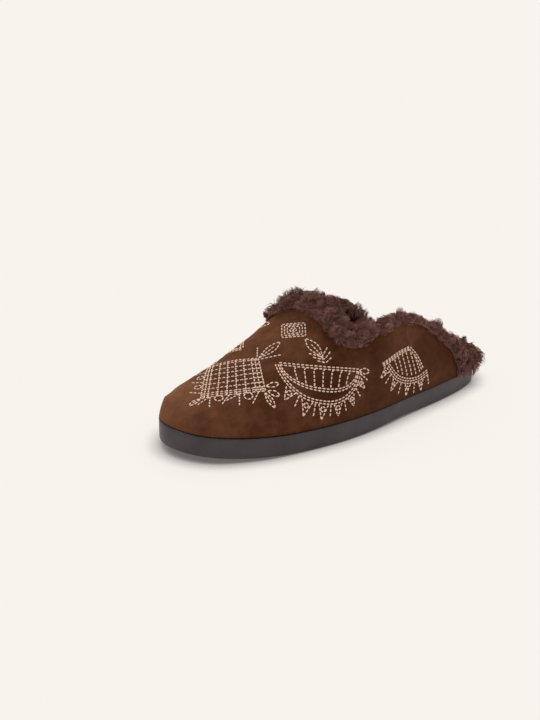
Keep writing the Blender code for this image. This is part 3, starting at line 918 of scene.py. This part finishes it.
def strandPaths(roots, ups, rooms, locks, setup, seed):
    # each strand leaves its root, curls, and leans to the middle of its lock
    chosen, lock, combing = locks
    levels = hairShape["levels"]
    lockDraws = drawAt(roots[chosen], 3, seed + 2)
    lengths = np.interp(lockDraws[:, 0], (0, 1), setup["length"])
    turns = np.interp(lockDraws[:, 1], (0, 1), setup["turns"]) * 2 * math.pi
    phases = lockDraws[:, 2] * 2 * math.pi
    across = unit(np.cross(ups[chosen], bellAt(roots[chosen], 3, seed + 3)))
    beside = np.cross(ups[chosen], across)
    jitter = bellAt(roots, 3, seed + 4) * setup["loose"]
    own = np.interp(drawAt(roots, 1, seed + 5)[:, 0], (0, 1), setup["ownLength"])
    short = setup["shortShare"]
    own *= short + (1 - short) * easeBetween(rooms, *setup["shortReach"])
    behind = easeBetween(roots[:, 1], *setup["heelEnds"])
    fall = setup["droop"] + (setup["heelDroop"] - setup["droop"]) * behind
    heading = unit(ups + combing[lock] * setup["lean"] + jitter)
    lockHeading = unit(ups[chosen] + combing * setup["lean"])
    path = np.empty((len(roots), levels + 1, 3))
    for level in range(levels + 1):
        t = level / levels
        far = (lengths[lock] * own * t)[:, None]
        swing = (phases[lock] + turns[lock] * t)[:, None]
        start = phases[lock][:, None]
        curl = across[lock] * (np.cos(swing) - np.cos(start))
        curl += beside[lock] * (np.sin(swing) - np.sin(start))
        free = roots + heading * far + curl * setup["curl"] * t
        middle = roots[chosen][lock] + lockHeading[lock] * far + curl * setup["curl"] * t
        path[:, level] = free + (middle - free) * setup["gather"] * t
        path[:, level, 2] -= fall * t * t
    for level in range(1, levels + 1):
        keepClear(path[:, level], setup["clearance"] * (setup["clearRoot"] + level / levels))
    return path


def growStrands(name, roots, ups, rooms, setup, made, seed):
    # a copy of the model strand bent along each path, with its own width and tone, the tone darkest at
    # the root as painted shade and lighter towards the tip
    count = len(roots)
    levels = hairShape["levels"]
    locks = gatherLocks(roots, ups, setup, seed)
    path = strandPaths(roots, ups, rooms, locks, setup, seed)
    along = unit(np.gradient(path, axis=1))
    sideways = unit(np.cross(along, slant))
    forward = np.cross(along, sideways)
    rows = np.rint(strandPoints[:, 2] * levels).astype(int)
    widths = np.interp(drawAt(roots, 1, seed + 6), (0, 1), setup["ownWidth"])
    width = setup["width"] * widths[:, :, None]
    section = sideways[:, rows] * strandPoints[None, :, 0, None]
    section += forward[:, rows] * strandPoints[None, :, 1, None]
    points = path[:, rows] + width * section
    faces = strandFaces[None] + (np.arange(count) * len(strandPoints))[:, None, None]
    piece = newPiece(name, points.reshape(-1, 3), faces.reshape(-1, 3))
    chosen, lock = locks[:2]
    hills = np.array([noise.noise(Vector(root) / setup["hillSize"]) for root in roots])
    bright = np.interp(drawAt(roots[chosen], 4, seed + 2)[:, 3], (0, 1), setup["lockTone"])[lock]
    bright += bellAt(roots, 1, seed + 7)[:, 0] * setup["ownTone"] + hills * setup["hillTone"]
    # painted shade: each strand is darkest at its root and lighter towards its tip
    rise = (rows / levels)[None, :] ** setup["paintedShadeRise"]
    shadedTones = setup["paintedRootShade"] + setup["paintedTipLight"] * rise + bright[:, None]
    setToneAndShade(piece.data, np.clip(shadedTones, 0.0, 1.0).ravel())
    shadeSmooth(piece)
    give(piece, made)
    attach(piece, "root")
    print("mule:", name, count, "strands", len(piece.data.polygons), "faces")


def keepClear(points, clearance):
    # moves what would sink in the suede or the sole out to its face
    for tree in (upperTree, soleTree):
        for i, point in enumerate(points):
            place, normal = tree.find_nearest(point, 0.004)[:2]
            if place is not None and (Vector(point) - place).dot(normal) < clearance:
                points[i] = place + normal * clearance


def furRoots(piece, setup, seed):
    # roots that stand clear, which way each looks, and how far each is from the suede
    roots, ups = scatterRoots(piece, setup["perArea"], seed)
    upperRoom = gapTo(upperTree, roots)
    kept = np.minimum(upperRoom, gapTo(soleTree, roots)) > setup["rootGap"]
    return roots[kept], ups[kept], upperRoom[kept]


def dressCollar(piece, setup):
    roots, ups, rooms = furRoots(piece, setup, 11)
    front = roots[:, 1] < setup["frontLine"]
    parts = {
        "collarStrandsFront": front,
        "collarStrandsOuter": ~front & (roots[:, 0] > 0),
        "collarStrandsInner": ~front & (roots[:, 0] <= 0),
    }
    for name, part in parts.items():
        growStrands(name, roots[part], ups[part], rooms[part], setup, shearling, 20)


def dressHeel(piece, setup):
    roots, ups, rooms = furRoots(piece, setup, 12)
    growStrands("heelStrands", roots, ups, rooms, setup, shearling, 30)


def dressFootbed(piece, setup):
    # only the face that the foot stands on has a pile
    roots, ups, rooms = furRoots(piece, setup, 13)
    top = (ups[:, 2] > setup["leastUp"]) & (roots[:, 1] > setup["toeEnd"])
    roots, ups, rooms = roots[top], ups[top], rooms[top]
    growStrands("footbedStrands", roots, ups, rooms, setup, footbedPile, 40)


heelStrandSetup = dict(strandSetup, length=(0.0042, 0.0068))
footbedStrandSetup = dict(
    strandSetup,
    perArea=0.32,
    length=(0.0022, 0.0036),
    width=0.00020,
    lockSpacing=0.0040,
    curl=0.0009,
    droop=0.0003,
    heelDroop=0.0003,
    rootGap=0.0012,
    leastUp=0.45,
    toeEnd=-0.150,      # no strands further into the toe
)
dressCollar(collarBase, strandSetup)
dressHeel(heelBase, heelStrandSetup)
dressFootbed(footbed, footbedStrandSetup)
print("mule: strands")


# embroidery: raised thread stitches in rows along drawn lines

threadLook = {
    "colour": (0.86, 0.625, 0.475),
    "shade": (0.42, 0.275, 0.190),
    "stitch": 0.0023,
    "gap": 0.0007,
    "width": 0.00106,
    "height": 0.00066,
    "rowGap": 1.75,      # between two rows, in millimetres
    "stepLength": 0.5,      # along a run, in millimetres
    "castHeight": 26,      # from where a run is dropped on the suede, in millimetres
    "leastFacing": 0.12,      # no stitches where the suede turns away more
    "longest": 1.15,      # times the stitch
    "plumpness": (0.9, 1.1),
    "twist": 0.12,
    "bluntness": 0.75,      # below 1 a stitch keeps its width to its ends
    "middleLift": 0.30,
    "bow": 1.3,
}
figureShapes = {
    "curveSteps": 8,
    "leafRib": 0.72,      # share of the leaf's length
    "leafBulge": 1.25,      # above 1 the leaf is widest past its middle
    "ringPlace": 0.34,      # share of the tassel's length
    "ringShare": 0.50,      # of the tassel's width
    "ringLimit": 1.9,
}


def smoothRun(places):
    # a curve through the places
    count = figureShapes["curveSteps"]
    run = [2 * np.array(places[0], float) - np.array(places[1], float)]
    run += [np.array(p, float) for p in places]
    run += [2 * run[-1] - run[-2]]
    found = []
    for a, b, c, d in zip(run[:-3], run[1:-2], run[2:-1], run[3:]):
        for step in range(count):
            t = step / count
            bend = (2 * a - 5 * b + 4 * c - d) * t ** 2
            found.append(0.5 * (2 * b + (c - a) * t + bend + (3 * b - a - 3 * c + d) * t ** 3))
    found.append(run[-2])
    return found


def sideOf(run):
    # the unit direction to the left of the run at each of its points
    along = np.gradient(np.array(run), axis=0)
    turned = np.stack([-along[:, 1], along[:, 0]], axis=1)
    return unit(turned)


def rowsBeside(run, offsets):
    run = np.array(run)
    return [list(run + sideOf(run) * offset) for offset in offsets]


def ring(centre, radius):
    turns = np.linspace(0, 2 * math.pi, 13)
    return [np.array(centre) + radius * np.array([math.cos(a), math.sin(a)]) for a in turns]


def leaf(base, tip, width, rib=True):
    base, tip = np.array(base, float), np.array(tip, float)
    side = unit(np.array([-(tip - base)[1], (tip - base)[0]])) * width
    shares = np.linspace(0, 1, 13)
    bulge = np.sin(np.pi * shares ** figureShapes["leafBulge"])
    found = [
        [base + (tip - base) * s + side * b for s, b in zip(shares, bulge)],
        [base + (tip - base) * s - side * b for s, b in zip(shares, bulge)],
    ]
    if rib:
        found.append([base, base + (tip - base) * figureShapes["leafRib"]])
    return found


def tassel(base, outwards, length, width):
    # a narrow triangle that stands on the border, with a small ring in it
    base, outwards = np.array(base, float), unit(np.array(outwards, float))
    side = np.array([-outwards[1], outwards[0]]) * width
    tip = base + outwards * length
    centre = base + outwards * length * figureShapes["ringPlace"]
    size = min(width * figureShapes["ringShare"], figureShapes["ringLimit"])
    return [[base - side, tip, base + side], ring(centre, size)]


def ray(base, outwards, length):
    base = np.array(base, float)
    return [[base, base + unit(np.array(outwards, float)) * length]]


def latticeMotif():
    # a lozenge of crossing rows over the toe, with a leaf, loops and rays round it
    heel = np.array([0.7, 22.8])
    inner = np.array([-30.5, 0.9])
    outer = np.array([27.2, 5.4])
    toe = np.array([3.8, -29.6])

    def at(across, along):
        near = inner * (1 - across) + heel * across
        return near * (1 - along) + (toe * (1 - across) + outer * across) * along

    runs = []
    for across in (0.0, 0.055, 0.11, 0.26, 0.41, 0.56, 0.71, 0.86, 0.93, 1.0):
        runs.append([at(across, along) for along in np.linspace(0, 1, 9)])
    for along in (0.0, 0.055, 0.20, 0.34, 0.48, 0.62, 0.76, 0.89, 0.945, 1.0):
        runs.append([at(across, along) for across in np.linspace(0, 1, 9)])
    runs += leaf(heel, (1.5, 42.3), 3.3)
    runs += ray(heel + (-2.0, 0.5), (-10.5, 9.3), 11.0) + ray(heel + (2.0, 0.0), (9.0, 12.5), 14.5)
    runs += leaf(outer + (0.5, 1.0), (34.5, 10.5), 2.0, False)
    runs += leaf(outer + (-2.5, 2.5), (28.0, 16.5), 1.9, False)
    runs += leaf(inner, (-38.5, -2.5), 2.0, False)
    runs += leaf(inner + (2, 3), (-33.0, 9.5), 1.9, False)
    downwards = unit(toe - heel + (outer - inner) * 0.35)
    beside = np.array([-downwards[1], downwards[0]])
    for across, kind in (
            (0.15, "fork"), (0.32, "ring"), (0.45, "ray"), (0.60, "fork"), (0.77, "ring"), (0.90, "ray")):
        base = at(across, 1.0)
        if kind == "ray":
            runs += ray(base, downwards, 11.0)
        elif kind == "fork":
            runs += ray(base, downwards + beside * 0.45, 11.0)
            runs += ray(base, downwards - beside * 0.45, 11.0)
        else:
            runs.append(ring(base + downwards * 3.4, 3.0))
    runs += leaf(outer + (0.5, -1.2), (38.0, 2.0), 2.0)
    runs += leaf(toe, toe + np.array([-1.2, -9.0]), 2.1)
    outwards = unit(inner - outer + (toe - heel) * 0.5)
    for along, kind in ((0.86, "ray"), (0.70, "ring"), (0.56, "ray"), (0.40, "ring"), (0.24, "ray")):
        base = at(0.0, along)
        if kind == "ray":
            runs += ray(base, outwards, 9.5)
        else:
            runs.append(ring(base + outwards * 3.4, 2.6))
    return runs


def squareMotif():
    # squares one in another on the instep
    corners = np.array([(-12.2, 0.1), (3.4, 8.6), (11.5, 0.8), (-2.7, -9.0)])
    middle = corners.mean(axis=0)
    runs = []
    for share in (1.0, 0.76, 0.52):
        square = middle + (corners - middle) * share
        runs.append([*square, square[0]])
    diamond = [middle + (corners[i] + corners[(i + 1) % 4] - 2 * middle) * 0.19 for i in range(4)]
    runs.append([*diamond, diamond[0]])
    runs.append(ring(middle, 0.9))
    return runs


def crescentMotif(gap):
    # a boat of double rows with ribs, a fringe of tassels below and a sprig above
    start = np.array([-24.0, 24.0])
    along = np.array([0.924, -0.381])
    down = np.array([-0.381, -0.924])

    def at(x, depth):
        return start + along * x + down * depth

    def bowl(turn, deep, half=27.0):
        # a point of the bowl's curve, from its left end at 0 to its right end at 1
        x = -math.cos(math.pi * turn)
        return at(26.0 + half * x, 1.0 + deep * max(0.0, 1 - abs(x) ** 2.4) ** 0.5)

    steps = np.linspace(0.0, 52.5, 27)
    turns = np.linspace(0.0, 1.0, 41)
    runs = []
    for inset in (0.0, gap):
        runs.append([at(x, 1.5 * math.sin(math.pi * x / 52.5) + inset) for x in steps])
    for deep, half in ((15.6, 25.3), (15.6 + gap, 26.4), (25.5 - gap, 26.4), (25.5, 28.0)):
        runs.append([bowl(turn, deep, half) for turn in turns])
    for x in (8.5, 14.5, 20.5, 26.5, 32.5, 38.5, 44.5):
        low = 26 + (x - 26) * 0.94
        top, low = at(x, 3.4), at(low, 0.4 + 15.6 * (1 - abs((x - 26) / 26.0) ** 2.4) ** 0.5)
        runs.append([top + along * 1.5, top, low])
    for turn, kind, size in (
            (0.235, "tassel", 10.5), (0.310, "ray", 9.0), (0.385, "tassel", 11.5), (0.455, "ray", 9.5),
            (0.525, "tassel", 10.5), (0.590, "ray", 8.0), (0.655, "tassel", 9.0), (0.720, "ray", 7.5),
            (0.790, "tassel", 8.5), (0.865, "ray", 7.5), (0.925, "tassel", 7.5)):
        base = bowl(turn, 25.5, 28.0)
        slope = bowl(turn + 0.01, 25.5, 28.0) - bowl(turn - 0.01, 25.5, 28.0)
        outwards = unit(np.array([slope[1], -slope[0]]))
        outwards = unit(outwards * 0.80 + down * 0.30)
        if kind == "tassel":
            runs += tassel(base, outwards, size, size * 0.37)
        else:
            runs += ray(base, outwards, size)
    right = at(52.5, 1.0)
    runs += leaf(right, right + np.array([8.5, -2.5]), 2.0, False)
    runs += ray(right + (0.5, -2.0), (5.5, -6.0), 8.0)
    runs += leaf((2.3, 17.5), (-0.4, 34.4), 2.9)
    runs.append([(-4.5, 24.0), (2.2, 19.0), (8.5, 24.5)])
    runs.append([(-3.5, 20.8), (2.6, 16.6), (9.0, 21.0)])
    runs.append([(-2.2, 17.6), (2.8, 14.4), (8.2, 17.0)])
    return runs


def smallCrescentMotif(gap):
    # the shorter boat on the heel side
    runs = []
    runs += rowsBeside([(-22.7, 10.5), (-13.0, 12.6), (-3.0, 14.2), (7.5, 15.0)], (0.0, -1.1, -2.2))
    runs += rowsBeside(smoothRun([(8.0, 14.6), (13.5, 9.0), (17.6, 2.6), (20.8, -4.0)]), (0.0, -gap))
    bowl = smoothRun([
        (-16.0, 9.0), (-12.5, 4.0), (-7.5, -1.4), (-1.0, -5.2), (7.0, -7.8), (16.0, -8.4), (25.5, -6.3)])
    runs += rowsBeside(bowl, (0.0, -gap, -2 * gap))
    ribs = [
        [(-10.0, 10.6), (-6.5, -0.2)], [(-5.4, 11.4), (-2.0, -3.2)], [(-0.8, 12.0), (3.0, -5.2)],
        [(3.6, 12.4), (8.0, -6.2)], [(8.2, 11.0), (12.6, -6.6)], [(12.4, 7.2), (17.0, -6.0)],
    ]
    runs += ribs
    edge = rowsBeside(bowl, (-2 * gap,))[0]
    sides = -sideOf(bowl)
    for share, kind, size in (
            (0.04, "tassel", 9.0), (0.18, "ray", 8.5), (0.33, "tassel", 9.5), (0.48, "ray", 8.5),
            (0.62, "tassel", 9.0), (0.75, "ray", 8.0), (0.86, "tassel", 8.5), (0.98, "ray", 8.0)):
        i = int(round(share * (len(edge) - 1)))
        if kind == "tassel":
            runs += tassel(edge[i], sides[i], size, size * 0.34)
        else:
            runs += ray(edge[i], sides[i], size)
    return runs


# where each motif lies: the middle of its plane, the way it faces, and its two directions
motifPlanes = {
    "toe": ((-0.5, -171, 45), (0, -0.34, 0.94), (1, 0, 0), (0, 0.94, 0.34)),
    "instep": ((2, -121, 67), (0.1, -0.561, 0.822), (0.995, 0.057, -0.083), (0, 0.826, 0.564)),
    "outerSide": ((40, -122, 40), (0.859, -0.15, 0.489), (0.13, 0.989, 0.074), (-0.495, 0, 0.869)),
    "outerHeel": ((41, -55, 35), (0.983, 0.151, 0.1), (-0.15, 0.989, -0.015), (-0.102, 0, 0.995)),
    "innerSide": ((-43.2, -124, 38.7), (-0.859, -0.15, 0.489), (-0.13, 0.989, 0.074), (0.495, 0, 0.869)),
    "innerHeel": ((-41, -55, 35), (-0.983, 0.151, 0.1), (0.15, 0.989, -0.015), (0.102, 0, 0.995)),
}


def modelStitch(look):
    # one plump stitch along X with its ends turned down into the suede
    bpy.ops.object.select_all(action="DESELECT")
    bpy.ops.mesh.primitive_uv_sphere_add(segments=6, ring_count=5, radius=0.5)
    points, faces = takeTriangles(bpy.context.active_object)
    points = points[:, [2, 0, 1]]
    points[:, 0] = np.sign(points[:, 0]) * np.abs(2 * points[:, 0]) ** look["bluntness"] / 2
    points[:, 2] += look["middleLift"] - look["bow"] * points[:, 0] ** 2
    return points, faces


def onSuede(plane, run, look):
    # follows the run over the suede in small steps
    middle, facing, across, along = (np.array(v, float) for v in plane)
    run = np.array(run, float)
    lengths = np.linalg.norm(np.diff(run, axis=0), axis=1)
    travelled = np.concatenate([[0], np.cumsum(lengths)])
    steps = np.linspace(0, travelled[-1], max(3, int(travelled[-1] / look["stepLength"])))
    flat = np.stack([np.interp(steps, travelled, run[:, k]) for k in (0, 1)], axis=1)
    found = []
    for u, v in flat:
        above = (middle + across * u + along * v + facing * look["castHeight"]) / 1000
        place, normal = upperTree.ray_cast(Vector(above), Vector(-facing))[:2]
        if place is None or normal.dot(Vector(facing)) < look["leastFacing"]:
            found.append(None)
        else:
            found.append((np.array(place), np.array(normal)))
    return found


def alongStretch(travelled, values, place):
    return np.array([np.interp(place, travelled, values[:, k]) for k in range(3)])


def layStitches(stretch, look, placed, draws):
    # stitches of one length, a small gap apart, along an unbroken stretch
    places = np.array([s[0] for s in stretch])
    normals = np.array([s[1] for s in stretch])
    steps = np.linalg.norm(np.diff(places, axis=0), axis=1)
    travelled = np.concatenate([[0], np.cumsum(steps)])
    count = max(1, int(round(travelled[-1] / (look["stitch"] + look["gap"]))))
    pitch = travelled[-1] / count
    for i in range(count):
        begin = i * pitch + look["gap"] / 2
        end = min((i + 1) * pitch - look["gap"] / 2, begin + look["longest"] * look["stitch"])
        ends = [alongStretch(travelled, places, place) for place in (begin, end)]
        up = unit(alongStretch(travelled, normals, (begin + end) / 2))
        plump = draws.uniform(*look["plumpness"])
        turn = draws.uniform(-look["twist"], look["twist"])
        placed.append((ends[0], ends[1], up, plump, turn))


def sewRun(found, look, placed, draws):
    # stitches only where the run lies on the suede
    stretch = []
    for spot in [*found, None]:
        if spot is not None:
            stretch.append(spot)
            continue
        if len(stretch) > 2:
            layStitches(stretch, look, placed, draws)
        stretch = []


def makeEmbroidery(look):
    draws = np.random.default_rng(21)
    gap = look["rowGap"]
    motifs = {
        "toe": latticeMotif(),
        "instep": squareMotif(),
        "outerSide": crescentMotif(gap),
        "outerHeel": smallCrescentMotif(gap),
        "innerSide": crescentMotif(gap),
        "innerHeel": smallCrescentMotif(gap),
    }
    placed = []
    for where, runs in motifs.items():
        for run in runs:
            sewRun(onSuede(motifPlanes[where], run, look), look, placed, draws)
    shape, shapeFaces = modelStitch(look)
    points = []
    faces = []
    shadedTones = []
    for number, (begin, end, up, plump, turn) in enumerate(placed):
        along = unit(end - begin)
        across = unit(np.cross(up, along) + along * turn * 0.5)
        length = np.linalg.norm(end - begin) + 0.0001
        spots = (begin + end) / 2 + shape[:, :1] * along * length
        spots = spots + shape[:, 1:2] * across * look["width"] * plump
        spots = spots + shape[:, 2:] * up * look["height"] * plump
        points.append(spots)
        faces.append(shapeFaces + number * len(shape))
        # painted shade: each stitch is darker low down where it meets the suede and lighter on its top;
        # its twist adds a random change
        shadedTones.append(np.clip(0.5 + 0.5 * shape[:, 2] + turn * 2, 0, 1))
    piece = newPiece("threadStitches", np.concatenate(points), np.concatenate(faces))
    setToneAndShade(piece.data, np.concatenate(shadedTones))
    shadeSmooth(piece)
    give(piece, makeThread(look))
    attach(piece, "root")
    print("mule: embroidery", len(placed), "stitches", len(piece.data.polygons), "faces")


def makeThread(look):
    made, nodes, links = newMaterial("creamThread")
    shader = nodes["Principled BSDF"]
    place = nodes.new("ShaderNodeTexCoord").outputs["Object"]
    toneAndShade = nodes.new("ShaderNodeAttribute")
    toneAndShade.attribute_name = "toneAndShade"
    ramp = rampNode(nodes, links, toneAndShade.outputs["Fac"], [(0.1, look["shade"]), (0.6, look["colour"])])
    links.new(ramp.outputs["Color"], shader.inputs["Base Color"])
    fibre = noiseNode(nodes, links, place, 2600.0, 2.0)
    bump = bumpNode(nodes, links, fibre.outputs["Fac"], 0.5, 0.0001)
    links.new(bump.outputs["Normal"], shader.inputs["Normal"])
    shader.inputs["Roughness"].default_value = 0.7
    shader.inputs["Sheen Weight"].default_value = 0.2
    return made


makeEmbroidery(threadLook)
